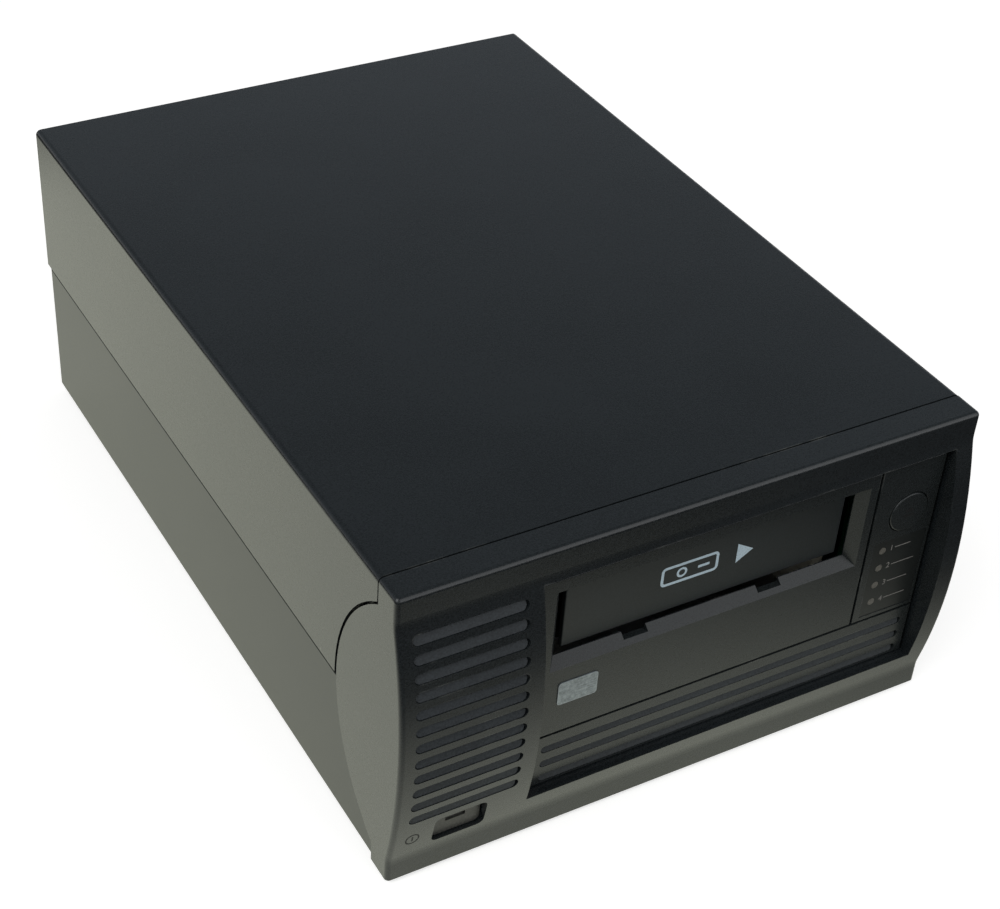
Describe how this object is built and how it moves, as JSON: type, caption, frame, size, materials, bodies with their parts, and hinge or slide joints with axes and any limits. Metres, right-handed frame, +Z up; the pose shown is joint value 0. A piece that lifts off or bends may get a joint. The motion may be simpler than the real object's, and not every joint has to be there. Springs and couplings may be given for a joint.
{
  "type": "data tape drive",
  "caption": "Desktop data tape drive: bulging louvred bezel round a full-height drive with a cartridge door, eject and power buttons, and a fan-cooled rear panel.",
  "frame": {"origin": "middle of the underside of the rubber feet", "axes": "+Z up, front faces -Y, +X to the viewer's right"},
  "size_m": [0.206, 0.2974, 0.117],
  "materials": {
    "shell_plastic": "fine textured moulding, near black",
    "bezel_plastic": "fine textured moulding, charcoal",
    "drive_plastic": "fine textured moulding, dark grey",
    "door_plastic": "satin moulding, dark grey",
    "button_plastic": "satin moulding, warm grey",
    "lens": "frosted light pipe",
    "label_film": "matt printed film",
    "badge": "satin",
    "rubber": "matt",
    "zinc_steel": "zinc plated sheet",
    "pin_steel": "ground",
    "black_steel": "matt black",
    "rear_paint": "textured black paint",
    "board": "solder mask",
    "component": "moulded package",
    "heatsink": "extruded",
    "motor": "satin",
    "cast": "cast",
    "nylon": "natural nylon",
    "ceramic": "lapped",
    "contact": "plated",
    "nickel": "nickel plated",
    "wire_jacket": "cable jacket"
  },
  "bodies": {
    "housing": {"top_cover": "shell_plastic", "base_tray": "shell_plastic", "screws": "black_steel", "rubber_feet": "rubber", "front_bezel": "bezel_plastic", "power_switch": "component", "springs": "pin_steel", "mounting_brackets": "zinc_steel", "drive_faceplate": "drive_plastic", "badge_plate": "badge", "indicator_label": "label_film", "indicator_lenses": "lens", "panel_components": "component", "panel_board": "board", "door_pin": "pin_steel", "drive_chassis": "zinc_steel", "drive_lid": "zinc_steel", "drive_board": "board", "standoffs": "contact", "board_components": "component", "mechanism_deck": "cast", "deck_supports": "nylon", "loader_motor": "motor", "reel_motors": "motor", "guide_posts": "pin_steel", "head_magnet": "black_steel", "supply_bracket": "zinc_steel", "supply_board": "board", "supply_components": "component", "supply_heatsink": "heatsink", "rear_panel": "rear_paint", "fan_frame": "component", "fan_guard": "nickel", "power_inlet": "component", "inlet_pins": "contact", "data_ports": "nickel", "jack_nuts": "nickel", "id_selector": "component", "inner_wiring": "wire_jacket"},
    "power_button": {"power_button": "button_plastic", "power_lens": "lens", "switch_plunger": "nylon"},
    "eject_button": {"eject_button": "button_plastic"},
    "cartridge_door": {"cartridge_door": "door_plastic"},
    "cartridge_tray": {"cartridge_tray": "zinc_steel", "tray_rack": "nylon"},
    "loader_pinion": {"loader_pinion": "nylon"},
    "drive_chuck": {"drive_chuck": "nylon"},
    "take_up_reel": {"take_up_reel": "component"},
    "guide_roller_1": {"guide_roller_1": "cast"},
    "guide_roller_2": {"guide_roller_2": "cast"},
    "guide_roller_3": {"guide_roller_3": "cast"},
    "guide_roller_4": {"guide_roller_4": "cast"},
    "head_carriage": {"head_carriage": "cast", "read_write_head": "ceramic"},
    "fan_rotor": {"fan_rotor": "component"},
    "id_wheel": {"id_wheel": "nylon"},
    "id_key_down": {"id_key_down": "button_plastic"},
    "id_key_up": {"id_key_up": "button_plastic"}
  },
  "joints": [
    {"name": "power_button_press", "type": "slide", "parent": "housing", "child": "power_button", "axis": [0, 1, 0], "range_m": [0, 0.002], "stiffness_N_per_m": 600, "springref_m": -0.001},
    {"name": "eject_button_press", "type": "slide", "parent": "housing", "child": "eject_button", "axis": [0, 1, 0], "range_m": [0, 0.0008], "stiffness_N_per_m": 900, "springref_m": -0.001},
    {"name": "door_swing", "type": "hinge", "parent": "housing", "child": "cartridge_door", "pos_m": [0.00825, -0.1337, 0.097], "axis": [1, 0, 0], "range_deg": [0, 80], "stiffness_Nm_per_rad": 0.002, "springref_deg": -28.65},
    {"name": "tray_slide", "type": "slide", "parent": "housing", "child": "cartridge_tray", "axis": [0, 1, 0], "range_m": [0, 0.01]},
    {"name": "pinion_spin", "type": "hinge", "parent": "housing", "child": "loader_pinion", "pos_m": [-0.038, -0.0928, 0.059], "axis": [1, 0, 0], "range_deg": [-96, 0]},
    {"name": "chuck_spin", "type": "hinge", "parent": "housing", "child": "drive_chuck", "pos_m": [0.00825, -0.0798, 0.057], "axis": [0, 0, 1], "continuous": true},
    {"name": "reel_spin", "type": "hinge", "parent": "housing", "child": "take_up_reel", "pos_m": [0.006, 0.0202, 0.064], "axis": [0, 0, 1], "continuous": true},
    {"name": "roller_1_spin", "type": "hinge", "parent": "housing", "child": "guide_roller_1", "pos_m": [0.062, -0.0223, 0.068], "axis": [0, 0, 1], "continuous": true},
    {"name": "roller_2_spin", "type": "hinge", "parent": "housing", "child": "guide_roller_2", "pos_m": [0.076, -0.0168, 0.068], "axis": [0, 0, 1], "continuous": true},
    {"name": "roller_3_spin", "type": "hinge", "parent": "housing", "child": "guide_roller_3", "pos_m": [0.062, 0.0227, 0.068], "axis": [0, 0, 1], "continuous": true},
    {"name": "roller_4_spin", "type": "hinge", "parent": "housing", "child": "guide_roller_4", "pos_m": [0.076, 0.0172, 0.068], "axis": [0, 0, 1], "continuous": true},
    {"name": "head_step", "type": "slide", "parent": "housing", "child": "head_carriage", "axis": [0, 0, 1], "range_m": [-0.002, 0.002]},
    {"name": "fan_spin", "type": "hinge", "parent": "housing", "child": "fan_rotor", "pos_m": [-0.052, 0.1135, 0.078], "axis": [0, 1, 0], "continuous": true},
    {"name": "id_wheel_turn", "type": "hinge", "parent": "housing", "child": "id_wheel", "pos_m": [-0.006, 0.1372, 0.048], "axis": [1, 0, 0], "continuous": true},
    {"name": "id_key_down_press", "type": "slide", "parent": "housing", "child": "id_key_down", "axis": [0, -1, 0], "range_m": [0, 0.0008], "stiffness_N_per_m": 500, "springref_m": -0.0005},
    {"name": "id_key_up_press", "type": "slide", "parent": "housing", "child": "id_key_up", "axis": [0, -1, 0], "range_m": [0, 0.0008], "stiffness_N_per_m": 500, "springref_m": -0.0005}
  ],
  "couplings": [
    {"joint": "pinion_spin", "follows": "tray_slide", "rad_per_m": -166.67}
  ]
}
